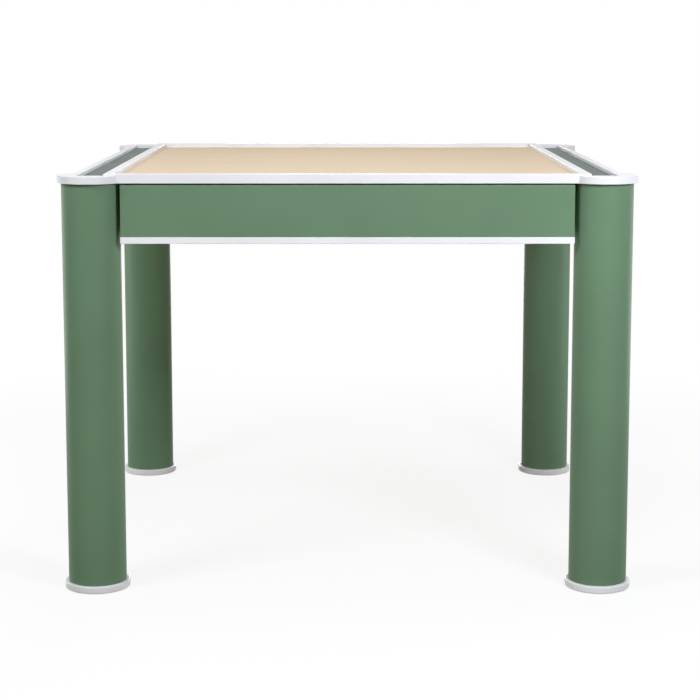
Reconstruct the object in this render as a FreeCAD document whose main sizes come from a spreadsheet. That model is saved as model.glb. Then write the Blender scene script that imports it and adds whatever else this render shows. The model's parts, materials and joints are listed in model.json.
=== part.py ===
import FreeCAD, Part
import os
import types
import Sketcher

# A square mahjong table. Four round legs carry a white top with a round lobe over each leg, a sunk playing field
# and a shallow tray along the left and right edges. A drawer opens at the front and another at the rear.
# Millimetres, +Z up, origin on the floor below the centre of the table, the front faces -Y.

SIZES = (
    ("leg_pitch", 890, "axis to axis of neighbouring legs"),
    ("leg_dia", 102, "leg diameter"),
    ("leg_len", 707, "leg length between foot and top"),
    ("foot_over", 6.5, "foot disc beyond the leg"),
    ("foot_height", 12.5, "foot disc thickness"),
    ("foot_ease", 2.5, "rounding of the foot's rims"),
    ("pad_inset", 15.5, "felt pad inside the rim of the foot"),
    ("pad_height", 3, "felt pad thickness"),
    ("pad_recess", 2, "depth of the felt pad's recess in the foot"),
    ("cap_over", 7, "lobe beyond the leg below it"),
    ("edge_out", 33, "straight edge of the top, outside the leg axes"),
    ("base_thick", 5.5, "base board thickness"),
    ("cap_thick", 7.5, "corner cap and tray rail thickness"),
    ("frame_rise", 3.5, "playing field frame above the corner caps"),
    ("frame_width", 16, "width of the frame rails"),
    ("tray_edge", 11, "from the straight edge to the tray"),
    ("tray_width", 48, "clear width of a tray"),
    ("liner_thick", 1, "tray liner thickness"),
    ("play_thick", 3, "playing field panel thickness"),
    ("edge_ease", 1, "rounding of the top's upper edges"),
    ("deck_thick", 12, "deck below the base board"),
    ("deck_notch", 2, "clearance of the deck's corner notches around the legs"),
    ("face_thick", 18, "drawer face thickness"),
    ("face_height", 90, "drawer face height"),
    ("face_setback", 3, "drawer face behind the straight edge"),
    ("face_gap", 2.5, "gap above the drawer face"),
    ("leg_gap", 2.5, "gap between drawer face and leg"),
    ("trim_height", 11.5, "white strip below the drawer face"),
    ("trim_proud", 3, "white strip in front of the drawer face"),
    ("apron_thick", 18, "side apron thickness"),
    ("box_inset", 33.5, "drawer box inside the ends of the face"),
    ("box_lift", 6, "drawer box above the lower edge of the face"),
    ("box_drop", 8.5, "drawer box below the deck"),
    ("box_rear_gap", 21, "drawer box in front of the centre divider"),
    ("side_thick", 12, "drawer side thickness"),
    ("housing", 6, "depth of the drawer side in the face"),
    ("back_thick", 12, "drawer back thickness"),
    ("bottom_thick", 6, "drawer bottom thickness"),
    ("bottom_lift", 6, "drawer bottom above the lower edge of the sides"),
    ("slot_depth", 5, "depth of the grooves for the drawer bottom"),
    ("groove_depth", 6, "depth of the runner groove"),
    ("runner_height", 12, "runner height"),
    ("runner_lift", 27, "runner above the lower edge of the sides"),
    ("slide_gap", 0.3, "sliding clearance above and below a runner"),
    ("tip_gap", 0.5, "clearance at the bottom of the runner groove"),
    ("side_gap", 4, "gap between drawer side and cheek"),
    ("cheek_thick", 12, "cheek thickness"),
    ("cheek_lift", 2.5, "cheek above the lower edge of the drawer face"),
    ("divider_thick", 12, "centre divider thickness"),
    ("close_gap", 0.5, "gap behind a closed drawer face"),
    ("stop_inset", 67.5, "drawer stop behind the drawer face"),
    ("stop_width", 60, "drawer stop length"),
    ("stop_thick", 20, "drawer stop thickness"),
    ("stop_catch", 9.5, "drawer stop below the upper edge of the drawer back"),
    ("block_wrap", 15, "corner block around the leg"),
    ("block_depth", 44, "corner block behind the leg"),
    ("block_lift", 12.5, "corner block above the lower edge of the drawer face"),
    ("bolt_dia", 10, "lag bolt shank"),
    ("bolt_bite", 36, "lag bolt in the leg"),
    ("bolt_head", 18.5, "lag bolt head across corners"),
    ("bolt_head_thick", 6.4, "lag bolt head thickness"),
    ("bolt_low", 16, "lower lag bolt above the bottom of the block"),
    ("bolt_high", 17, "upper lag bolt below the deck"),
    ("screw_dia", 4, "wood screw shank"),
    ("screw_head", 8, "wood screw head"),
    ("screw_sink", 2.5, "wood screw head depth"),
    ("runner_screw_bite", 8.5, "runner screws in the cheek"),
    ("runner_screw_end", 40, "runner screws from the runner ends"),
    ("deck_screw_bite", 7.5, "deck screws in the frame rails"),
    ("deck_screw_end", 62, "outer deck screws from the notches of the deck"),
    ("foot_screw_bite", 34.5, "foot screws in the leg"),
    ("fit", 0.1, "clearance of glued and driven pieces"),
)

doc = FreeCAD.newDocument("mahjong_table")
sheet = doc.addObject("Spreadsheet::Sheet", "Dims")
for row, (alias, value, note) in enumerate(SIZES, 1):
    sheet.set(f"A{row}", note)
    sheet.set(f"B{row}", str(value))
    sheet.setAlias(f"B{row}", alias)
doc.recompute()


class Size:
    """A length in mm together with the sheet expression that drives it."""

    def __init__(self, value, text):
        self.value = value
        self.text = text

    def __add__(self, other):
        other = lift(other)
        return Size(self.value + other.value, f"({self.text} + {other.text})")

    def __sub__(self, other):
        other = lift(other)
        return Size(self.value - other.value, f"({self.text} - {other.text})")

    def __mul__(self, factor):
        return Size(self.value * factor, f"({self.text} * {factor})")

    def __truediv__(self, divisor):
        return Size(self.value / divisor, f"({self.text} / {divisor})")

    def __neg__(self):
        return Size(-self.value, f"(0 - {self.text})")

    __rmul__ = __mul__


def lift(item):
    """A plain number as a Size; a Size stays as it is."""
    return item if isinstance(item, Size) else Size(item, str(item))


def span(first, second):
    """Two limits in rising order."""
    first, second = lift(first), lift(second)
    return (first, second) if first.value <= second.value else (second, first)


def both(half):
    """Limits the same distance either side of zero."""
    return -half, half


d = types.SimpleNamespace(**{row[0]: Size(float(sheet.get(row[0])), "Dims." + row[0]) for row in SIZES})


class Seat:
    """A place for pieces: its origin, and whether it is turned half a turn about Z."""

    def __init__(self, x=0, y=0, turned=False):
        self.x = lift(x)
        self.y = lift(y)
        self.turned = turned


HOME = Seat()
UP = FreeCAD.Vector(0, 0, 1)
HALF_TURN = FreeCAD.Rotation(UP, 180)
AIM = {
    "+z": FreeCAD.Rotation(),
    "+x": FreeCAD.Rotation(UP, FreeCAD.Vector(1, 0, 0)),
    "-x": FreeCAD.Rotation(UP, FreeCAD.Vector(-1, 0, 0)),
    "+y": FreeCAD.Rotation(UP, FreeCAD.Vector(0, 1, 0)),
    "-y": FreeCAD.Rotation(UP, FreeCAD.Vector(0, -1, 0)),
}
nodes = []


def bind(item, path, size):
    item.setExpression(path, lift(size).text)


def place(item, seat, x=0, y=0, z=0, aim="+z"):
    """Puts the item's own origin on a point of the seat."""
    facing = HALF_TURN.multiply(AIM[aim]) if seat.turned else AIM[aim]
    item.Placement = FreeCAD.Placement(FreeCAD.Vector(), facing)
    turn = -1 if seat.turned else 1
    bind(item, "Placement.Base.x", seat.x + lift(x) * turn)
    bind(item, "Placement.Base.y", seat.y + lift(y) * turn)
    bind(item, "Placement.Base.z", z)


def node(item):
    """Marks a finished piece of the table."""
    nodes.append(item)
    return item


def panel(label, x, y, z, seat=HOME):
    """A plain board between three pairs of limits."""
    item = doc.addObject("Part::Box", label)
    for side, (low, high) in zip(("Length", "Width", "Height"), (x, y, z)):
        bind(item, side, lift(high) - low)
    place(item, seat, x[0], y[0], z[0])
    return item


def rod(label, radius, length, seat, x, y, z, aim="+z"):
    """A round bar that starts at a point and runs along an axis."""
    item = doc.addObject("Part::Cylinder", label)
    bind(item, "Radius", radius)
    bind(item, "Height", length)
    place(item, seat, x, y, z, aim)
    return item


def fuse(label, items):
    item = doc.addObject("Part::MultiFuse", label)
    item.Shapes = items
    item.Refine = True
    return item


def cut(label, blank, tools):
    item = doc.addObject("Part::Cut", label)
    item.Base = blank
    item.Tool = tools[0] if len(tools) == 1 else fuse(label + "_tools", tools)
    return item


def group(label, items):
    """Like fasteners kept together as one piece of several solids."""
    item = doc.addObject("Part::Compound", label)
    item.Links = items
    return item


def sketch_on(body, name, plane):
    sketch = body.newObject("Sketcher::SketchObject", name)
    support = next(part for part in body.Origin.OriginFeatures if part.Role == plane)
    sketch.AttachmentSupport = [(support, "")]
    sketch.MapMode = "FlatFace"
    return sketch


def draw_outline(sketch, points):
    """Adds a closed outline with every corner tied to the sheet."""
    points = [(lift(u), lift(v)) for u, v in points]
    first = sketch.GeometryCount
    count = len(points)
    corners = [FreeCAD.Vector(u.value, v.value, 0) for u, v in points]
    for start, end in zip(corners, corners[1:] + corners[:1]):
        sketch.addGeometry(Part.LineSegment(start, end))
    for index, corner in enumerate(points):
        line = first + index
        sketch.addConstraint(Sketcher.Constraint("Coincident", line, 2, first + (index + 1) % count, 1))
        for kind, size in zip(("DistanceX", "DistanceY"), corner):
            tie = sketch.addConstraint(Sketcher.Constraint(kind, line, 1, size.value))
            bind(sketch, f"Constraints[{tie}]", size)


def rectangle(x, z):
    return [(x[0], z[0]), (x[1], z[0]), (x[1], z[1]), (x[0], z[1])]


def pad(body, sketch, length, reverse=False):
    feature = body.newObject("PartDesign::Pad", body.Name + "_pad")
    feature.Profile = sketch
    feature.Reversed = reverse
    bind(feature, "Length", length)


def pocket(body, name, outlines, depth):
    """Sinks outlines into the board from its back, which lies on the body's XZ plane."""
    sketch = sketch_on(body, name + "_outline", "XZ_Plane")
    for points in outlines:
        draw_outline(sketch, points)
    feature = body.newObject("PartDesign::Pocket", name)
    feature.Profile = sketch
    feature.Reversed = True
    bind(feature, "Length", depth)


def prism(label, points, y, seat=HOME):
    """A bar of one section: an outline in X and Z carried along Y."""
    body = doc.addObject("PartDesign::Body", label)
    sketch = sketch_on(body, label + "_outline", "XZ_Plane")
    draw_outline(sketch, points)
    pad(body, sketch, lift(y[1]) - y[0], reverse=True)
    place(body, seat, 0, y[0], 0)
    return body


def slab(label, points, z):
    """A board cut to an outline in X and Y."""
    body = doc.addObject("PartDesign::Body", label)
    sketch = sketch_on(body, label + "_outline", "XY_Plane")
    draw_outline(sketch, points)
    pad(body, sketch, lift(z[1]) - z[0])
    place(body, HOME, 0, 0, z[0])
    return body


def near(first, second):
    return abs(first - lift(second).value) < 1e-4


def ease(body, radius, wanted):
    """Rounds the edges whose end points all pass a test in the body's own axes."""
    doc.recompute()
    blank = body.Tip
    names = []
    for number, edge in enumerate(blank.Shape.Edges, 1):
        if all(wanted(corner.Point) for corner in edge.Vertexes):
            names.append(f"Edge{number}")
    feature = body.newObject("PartDesign::Fillet", body.Name + "_ease")
    feature.Base = (blank, names)
    bind(feature, "Radius", radius)


def disc(label, radius, height, seat, z, radius_eased):
    """A round plate with its upper rim eased."""
    body = doc.addObject("PartDesign::Body", label)
    sketch = sketch_on(body, label + "_outline", "XY_Plane")
    sketch.addGeometry(Part.Circle(FreeCAD.Vector(), UP, radius.value))
    sketch.addConstraint(Sketcher.Constraint("Coincident", 0, 3, -1, 1))
    tie = sketch.addConstraint(Sketcher.Constraint("Radius", 0, radius.value))
    bind(sketch, f"Constraints[{tie}]", radius)
    pad(body, sketch, height)
    ease(body, radius_eased, lambda point: near(point.z, height))
    place(body, seat, 0, 0, z)
    return body


def screw(label, seat, x, y, z, aim, length, loose=0):
    """A countersunk wood screw from the face of its head; loose widens it into its hole."""
    head = doc.addObject("Part::Cone", label + "_head")
    bind(head, "Radius1", d.screw_head / 2 + loose)
    bind(head, "Radius2", d.screw_dia / 2 + loose)
    bind(head, "Height", d.screw_sink)
    place(head, seat, x, y, z, aim)
    shank = rod(label + "_shank", d.screw_dia / 2 + loose, length + loose, seat, x, y, z, aim)
    return fuse(label, [head, shank])


# Levels
foot_z = d.pad_height - d.pad_recess
leg_z = foot_z + d.foot_height
top_z = leg_z + d.leg_len
rail_z = top_z + d.base_thick
cap_z = rail_z + d.cap_thick
frame_z = cap_z + d.frame_rise
deck_z = top_z - d.deck_thick
face_z = span(top_z - d.face_gap - d.face_height, top_z - d.face_gap)
trim_z = span(face_z[0] - d.trim_height, face_z[0])
box_z = span(face_z[0] + d.box_lift, deck_z - d.box_drop)
bottom_z = span(box_z[0] + d.bottom_lift, box_z[0] + d.bottom_lift + d.bottom_thick)
runner_z = span(box_z[0] + d.runner_lift, box_z[0] + d.runner_lift + d.runner_height)
cheek_z = span(face_z[0] + d.cheek_lift, deck_z)
block_z = span(face_z[0] + d.block_lift, deck_z)

# Plan
half = d.leg_pitch / 2
leg_r = d.leg_dia / 2
cap_r = leg_r + d.cap_over
foot_r = leg_r + d.foot_over
pad_r = foot_r - d.pad_inset
edge = half + d.edge_out
tray_out = edge - d.tray_edge
tray_in = tray_out - d.tray_width
play_x = tray_in - d.frame_width
play_y = edge - d.frame_width
face_front = edge - d.face_setback
face_back = face_front - d.face_thick
face_x = half - leg_r - d.leg_gap
apron_in = face_front - d.apron_thick
carcass_y = face_back - d.close_gap
box_len = face_back - d.divider_thick / 2 - d.box_rear_gap
box_x = face_x - d.box_inset
box_in = box_x - d.side_thick
cheek_in = box_x + d.side_gap
cheek_out = cheek_in + d.cheek_thick
notch = half - leg_r - d.deck_notch
block_back = leg_r + d.block_depth
bolt_len = d.block_depth + d.bolt_bite
groove_in = box_x - d.groove_depth
runner_in = groove_in + d.tip_gap
runner_screw_len = cheek_in - runner_in + d.runner_screw_bite
deck_screw_len = d.deck_thick + d.base_thick + d.deck_screw_bite
foot_screw_len = d.foot_height - d.pad_recess + d.foot_screw_bite

SIDES = (("left", -1), ("right", 1))
CORNERS = (("front_left", -1, -1), ("front_right", 1, -1), ("rear_left", -1, 1), ("rear_right", 1, 1))


def corner_seat(sx, sy):
    """The leg axis, turned so that +Y points to the middle; also the way to the middle along X."""
    turned = sy > 0
    return Seat(half * sx, half * sy, turned), (sx if turned else -sx)


# Deck screws, driven up through the deck and the base board into the side rails of the frame
deck_screws = []
deck_holes = []
for name, sx in SIDES:
    outer = notch - d.deck_screw_end
    for number, y in enumerate((-outer, -outer / 3, outer / 3, outer)):
        spot = ((play_x + d.frame_width / 2) * sx, y, deck_z)
        label = f"deck_screw_{name}_{number}"
        deck_screws.append(screw(label, HOME, *spot, "+z", deck_screw_len))
        deck_holes.append(screw(label + "_hole", HOME, *spot, "+z", deck_screw_len, d.fit))
deck_bores = fuse("deck_bores", deck_holes)
node(group("deck_screws", deck_screws))

# Top: base board with four lobes
lobes = []
for name, sx, sy in CORNERS:
    seat, inward = corner_seat(sx, sy)
    lobes.append(rod(f"lobe_{name}", cap_r, d.base_thick, seat, 0, 0, top_z))
board = panel("base_board_middle", both(edge), both(edge), (top_z, rail_z))
node(cut("base_board", fuse("base_board_blank", [board] + lobes), [deck_bores]))

# Top: corner caps, each open where the tray ends on it and where the frame passes
for name, sx, sy in CORNERS:
    seat, inward = corner_seat(sx, sy)
    blank = disc(f"cap_{name}_disc", cap_r, d.cap_thick, seat, rail_z, d.edge_ease)
    tray = panel(
        f"cap_{name}_tray",
        span((half - tray_out) * inward, (half - tray_in) * inward),
        (half - tray_out, cap_r * 2),
        (rail_z, cap_z),
        seat,
    )
    frame = panel(
        f"cap_{name}_frame",
        span((half - tray_in) * inward, cap_r * 2 * inward),
        (half - edge, cap_r * 2),
        (rail_z, cap_z),
        seat,
    )
    node(cut(f"corner_cap_{name}", blank, [tray, frame]))

# Top: tray rails, coped to the caps, and tray liners
for name, sx in SIDES:
    bar = prism(
        f"tray_rail_{name}_bar",
        rectangle(span(tray_out * sx, edge * sx), (rail_z, cap_z)),
        both(half),
    )
    ease(bar, d.edge_ease, lambda point: near(point.z, cap_z) and near(point.x, edge * sx))
    ends = []
    for end, sy in (("front", -1), ("rear", 1)):
        cap_seat = Seat(half * sx, half * sy)
        ends.append(rod(f"tray_rail_{name}_{end}_end", cap_r + d.fit, d.cap_thick, cap_seat, 0, 0, rail_z))
    node(cut(f"tray_rail_{name}", bar, ends))
    node(panel(
        f"tray_liner_{name}",
        span((tray_in + d.fit) * sx, (tray_out - d.fit) * sx),
        both(tray_out - d.fit),
        (rail_z, rail_z + d.liner_thick),
    ))

# Top: frame and playing field
for name, sy in (("front", -1), ("rear", 1)):
    rail = prism(f"frame_rail_{name}", rectangle(both(tray_in), (rail_z, frame_z)), span(play_y * sy, edge * sy))
    outside = 0 if sy < 0 else d.frame_width
    ease(rail, d.edge_ease, lambda point: near(point.z, frame_z) and near(point.y, outside))
    node(rail)
for name, sx in SIDES:
    bar = prism(
        f"frame_rail_{name}_bar",
        rectangle(span(play_x * sx, tray_in * sx), (rail_z, frame_z)),
        both(play_y),
    )
    ease(bar, d.edge_ease, lambda point: near(point.z, frame_z) and near(point.x, tray_in * sx))
    node(cut(f"frame_rail_{name}", bar, [deck_bores]))
node(panel("play_panel", both(play_x - d.fit), both(play_y - d.fit), (rail_z, rail_z + d.play_thick)))

# Deck, notched around the legs
deck_points = [
    (-apron_in, -notch), (-notch, -notch), (-notch, -carcass_y), (notch, -carcass_y),
    (notch, -notch), (apron_in, -notch), (apron_in, notch), (notch, notch),
    (notch, carcass_y), (-notch, carcass_y), (-notch, notch), (-apron_in, notch),
]
node(cut("deck", slab("deck_blank", deck_points, (deck_z, top_z)), [deck_bores]))

# Legs with feet, felt pads, corner blocks and lag bolts
foot_screws = []
leg_bolts = []
felt_pads = []
bolt_levels = (("low", block_z[0] + d.bolt_low), ("high", block_z[1] - d.bolt_high))
for name, sx, sy in CORNERS:
    seat, inward = corner_seat(sx, sy)

    recess_z = foot_z + d.pad_recess
    foot_screws.append(screw(f"foot_screw_{name}", seat, 0, 0, recess_z, "+z", foot_screw_len))
    screw_hole = screw(f"foot_screw_{name}_hole", seat, 0, 0, recess_z, "+z", foot_screw_len, d.fit)
    felt_pads.append(rod(f"felt_pad_{name}", pad_r, d.pad_height, seat, 0, 0, 0))

    foot = doc.addObject("PartDesign::Body", f"foot_{name}_blank")
    section = sketch_on(foot, f"foot_{name}_section", "XZ_Plane")
    recess_r = pad_r + d.fit
    draw_outline(section, [
        (0, d.pad_recess), (recess_r, d.pad_recess), (recess_r, 0),
        (foot_r, 0), (foot_r, d.foot_height), (0, d.foot_height),
    ])
    turning = foot.newObject("PartDesign::Revolution", f"foot_{name}_turning")
    turning.Profile = section
    turning.ReferenceAxis = (section, ["V_Axis"])
    turning.Angle = 360
    ease(foot, d.foot_ease, lambda point: near((point.x ** 2 + point.y ** 2) ** 0.5, foot_r))
    place(foot, seat, 0, 0, foot_z)
    node(cut(f"foot_{name}", foot, [screw_hole]))

    holes = [screw_hole]
    for level, z in bolt_levels:
        label = f"leg_bolt_{name}_{level}"
        hexagon = doc.addObject("Part::Prism", label + "_head")
        hexagon.Polygon = 6
        bind(hexagon, "Circumradius", d.bolt_head / 2)
        bind(hexagon, "Height", d.bolt_head_thick)
        place(hexagon, seat, 0, block_back, z, "+y")
        shank = rod(label + "_shank", d.bolt_dia / 2, bolt_len, seat, 0, block_back, z, "-y")
        leg_bolts.append(fuse(label, [hexagon, shank]))
        holes.append(rod(label + "_hole", d.bolt_dia / 2 + d.fit, bolt_len + d.fit, seat, 0, block_back, z, "-y"))
    node(cut(f"leg_{name}", rod(f"leg_{name}_blank", leg_r, d.leg_len, seat, 0, 0, leg_z), holes))

    block = panel(
        f"corner_block_{name}_blank",
        span((half - apron_in) * inward, (half - cheek_out) * inward),
        (leg_r - d.block_wrap, block_back),
        block_z,
        seat,
    )
    cope = rod(f"corner_block_{name}_cope", leg_r + d.fit, block_z[1] - block_z[0], seat, 0, 0, block_z[0])
    node(cut(f"corner_block_{name}", block, [cope] + holes[1:]))
node(group("foot_screws", foot_screws))
node(group("leg_bolts", leg_bolts))
node(group("felt_pads", felt_pads))

# Side aprons and their white strips, coped to the legs
for name, sx in SIDES:
    for label, outer, z in (
        ("side_apron", face_front, (face_z[0], top_z)),
        ("side_trim", face_front + d.trim_proud, trim_z),
    ):
        board = panel(f"{label}_{name}_blank", span(apron_in * sx, outer * sx), both(half), z)
        copes = []
        for end, sy in (("front", -1), ("rear", 1)):
            leg_seat = Seat(half * sx, half * sy)
            copes.append(rod(f"{label}_{name}_{end}_cope", leg_r + d.fit, lift(z[1]) - z[0], leg_seat, 0, 0, z[0]))
        node(cut(f"{label}_{name}", board, copes))

# Drawers and the runners and stops that belong to them, each in axes whose origin is the back of the drawer face
runner_screws = []
cheek_holes = {"left": [], "right": []}
for place_name, sy in (("front", -1), ("rear", 1)):
    seat = Seat(0, face_back * sy, turned=sy > 0)

    face = doc.addObject("PartDesign::Body", f"drawer_face_{place_name}")
    outline = sketch_on(face, f"drawer_face_{place_name}_outline", "XZ_Plane")
    draw_outline(outline, rectangle(both(face_x), face_z))
    pad(face, outline, d.face_thick)
    housing_z = (box_z[0] - d.fit, box_z[1] + d.fit)
    housings = []
    for side_name, sx in SIDES:
        housings.append(rectangle(span((box_in - d.fit) * sx, (box_x + d.fit) * sx), housing_z))
    pocket(face, f"drawer_face_{place_name}_housings", housings, d.housing + d.fit)
    slot_z = (bottom_z[0] - d.fit, bottom_z[1] + d.fit)
    pocket(face, f"drawer_face_{place_name}_slot", [rectangle(both(box_in), slot_z)], d.slot_depth + d.fit)
    ease(face, d.edge_ease, lambda point: near(point.y, -d.face_thick))
    place(face, seat)
    node(face)

    trim = prism(
        f"drawer_trim_{place_name}",
        rectangle(both(face_x), trim_z),
        (-(d.face_thick + d.trim_proud), 0),
        seat,
    )
    ease(trim, d.edge_ease, lambda point: near(point.y, 0))
    node(trim)

    for side_name, sx in SIDES:
        name = f"{place_name}_{side_name if sy < 0 else ('right' if sx < 0 else 'left')}"
        groove_z = (runner_z[0] - d.slide_gap, runner_z[1] + d.slide_gap)
        slot_x = box_in + d.slot_depth + d.fit
        section = [
            (box_in, box_z[0]), (box_x, box_z[0]), (box_x, groove_z[0]), (groove_in, groove_z[0]),
            (groove_in, groove_z[1]), (box_x, groove_z[1]), (box_x, box_z[1]), (box_in, box_z[1]),
            (box_in, slot_z[1]), (slot_x, slot_z[1]), (slot_x, slot_z[0]), (box_in, slot_z[0]),
        ]
        section = [(x * sx, z) for x, z in section]
        node(prism(f"drawer_side_{name}", section, (-d.housing, box_len), seat))

        runner_y = (d.close_gap, d.close_gap + box_len)
        blank = panel(f"runner_{name}_blank", span(runner_in * sx, cheek_in * sx), runner_y, runner_z, seat)
        screw_z = runner_z[0] + d.runner_height / 2
        holes = []
        for number, screw_y in enumerate((
            runner_y[0] + d.runner_screw_end,
            runner_y[0] + box_len / 2,
            runner_y[1] - d.runner_screw_end,
        )):
            label = f"runner_screw_{name}_{number}"
            aim = "+x" if sx > 0 else "-x"
            spot = (runner_in * sx, screw_y, screw_z)
            runner_screws.append(screw(label, seat, *spot, aim, runner_screw_len))
            holes.append(screw(label + "_hole", seat, *spot, aim, runner_screw_len, d.fit))
        cheek_holes[name.split("_")[1]].extend(holes)
        node(cut(f"runner_{name}", blank, holes))

    node(panel(
        f"drawer_back_{place_name}",
        both(box_in),
        (box_len - d.back_thick, box_len),
        (bottom_z[1], box_z[1]),
        seat,
    ))
    node(panel(
        f"drawer_bottom_{place_name}",
        both(box_in + d.slot_depth),
        (-d.slot_depth, box_len),
        bottom_z,
        seat,
    ))
    node(panel(
        f"drawer_stop_{place_name}",
        both(d.stop_width / 2),
        (d.stop_inset, d.stop_inset + d.stop_thick),
        (box_z[1] - d.stop_catch, deck_z),
        seat,
    ))
node(group("runner_screws", runner_screws))

# Cheeks that carry the runners, and the divider between the drawers
for name, sx in SIDES:
    blank = panel(f"cheek_{name}_blank", span(cheek_in * sx, cheek_out * sx), both(carcass_y), cheek_z)
    node(cut(f"cheek_{name}", blank, cheek_holes[name]))
node(panel("centre_divider", both(cheek_in), both(d.divider_thick / 2), cheek_z))

doc.recompute()

for item in doc.Objects:
    if {"Invalid", "Error"} & set(item.State):
        raise RuntimeError(f"{item.Label} did not rebuild: {item.State}")

os.makedirs("parts", exist_ok=True)
for item in nodes:
    shape = item.Shape
    if shape.isNull() or not shape.isValid() or not shape.Solids:
        raise RuntimeError(f"{item.Label} has no valid solid")
    shape.exportStep(f"parts/{item.Label}.step")
    box = shape.BoundBox
    print(
        f"{item.Label:28s} solids {len(shape.Solids):2d}  volume {shape.Volume / 1000:9.1f} cm3  "
        f"x {box.XMin:7.1f} {box.XMax:7.1f}  y {box.YMin:7.1f} {box.YMax:7.1f}  z {box.ZMin:6.1f} {box.ZMax:6.1f}"
    )
print(len(nodes), "pieces")
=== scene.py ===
# %% [markdown]
# # A mahjong table with two drawers
# The table's construction arrives as a fixed frame: every piece already has its true size and place,
# and the drawers know how they slide. What is left for Blender is the finish: smooth turned legs, eased
# edges, sprayed lacquer, veneer, plywood edges, and the soft light of a photo studio. Nothing here
# moves or resizes the frame.

# %% Load the frame
import json
import math

import bpy
import numpy as np
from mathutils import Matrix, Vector

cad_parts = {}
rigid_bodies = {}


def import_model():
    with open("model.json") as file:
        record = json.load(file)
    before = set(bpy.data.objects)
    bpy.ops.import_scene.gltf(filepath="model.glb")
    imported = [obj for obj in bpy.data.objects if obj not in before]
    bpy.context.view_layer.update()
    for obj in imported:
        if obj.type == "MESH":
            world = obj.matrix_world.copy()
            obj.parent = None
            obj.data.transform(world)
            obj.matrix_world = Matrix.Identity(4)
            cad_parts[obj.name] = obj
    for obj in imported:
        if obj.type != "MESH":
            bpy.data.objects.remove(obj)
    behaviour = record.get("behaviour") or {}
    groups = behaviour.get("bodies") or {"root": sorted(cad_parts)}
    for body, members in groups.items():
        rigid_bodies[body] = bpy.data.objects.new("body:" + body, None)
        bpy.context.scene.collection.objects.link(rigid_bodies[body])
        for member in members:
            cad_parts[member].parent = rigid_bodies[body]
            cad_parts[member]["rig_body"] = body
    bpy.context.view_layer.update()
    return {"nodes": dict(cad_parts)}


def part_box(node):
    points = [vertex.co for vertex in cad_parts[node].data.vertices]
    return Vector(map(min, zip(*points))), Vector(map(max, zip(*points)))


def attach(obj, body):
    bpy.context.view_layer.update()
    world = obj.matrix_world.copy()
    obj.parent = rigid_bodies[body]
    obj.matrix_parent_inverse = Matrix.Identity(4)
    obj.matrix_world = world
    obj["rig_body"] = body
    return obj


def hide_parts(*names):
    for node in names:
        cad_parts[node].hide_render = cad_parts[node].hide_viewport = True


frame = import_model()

MM = 0.001
print("nodes in the frame:", len(frame["nodes"]))

# %% [markdown]
# ## Outlines
# Almost every piece of this table is an outline carried in a straight line: a circle for a leg, a
# rectangle for a rail, a notched rectangle for a drawer side. Sharp corners give a piece away as a
# computer model, because a real one is eased with sandpaper before it is sprayed. A Bevel modifier
# could do that, but here the corners are rounded in the outline itself, so that the exact direction of
# the surface is known at every point and large flat faces stay perfectly flat in their reflections.


# %% Round stretches and their tangents
def round_stretch(centre, radius, first, last, pieces):
    """Corners of a polygon that touches a round stretch from outside, from one angle to another.

    The stretch is cut into equal arcs. The tangents at the two ends of an arc meet on its middle
    direction, at the radius divided by the cosine of half the arc.
    """
    half_arc = (last - first) / pieces / 2
    angle = first + half_arc * (2 * np.arange(pieces) + 1)
    reach = radius / math.cos(half_arc)
    return np.stack([centre[0] + reach * np.cos(angle), centre[1] + reach * np.sin(angle)], 1)


def tangent_corner(centre, radius, angle, fixed, value):
    """Where the tangent of a circle at an angle crosses a line on which one coordinate is fixed."""
    spoke = np.array([math.cos(angle), math.sin(angle)])
    heading = np.array([-spoke[1], spoke[0]])
    start = np.array([centre[0], centre[1]]) + radius * spoke
    return start + heading * (value - start[fixed]) / heading[fixed]


print("a quarter circle of radius 1 in one corner:", round_stretch((0, 0), 1, 0, math.pi / 2, 1))

# %% Round the corners of an outline
FINEST_EDGE, BOLDEST_EDGE = 0.4 * MM, 4 * MM  # roundings between these two count as edges that wear
SAME_POINT = 0.0001 * MM
DRAW_IN_LIMIT = 0.9  # share of a corner's radius by which the corner may be drawn in


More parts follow.
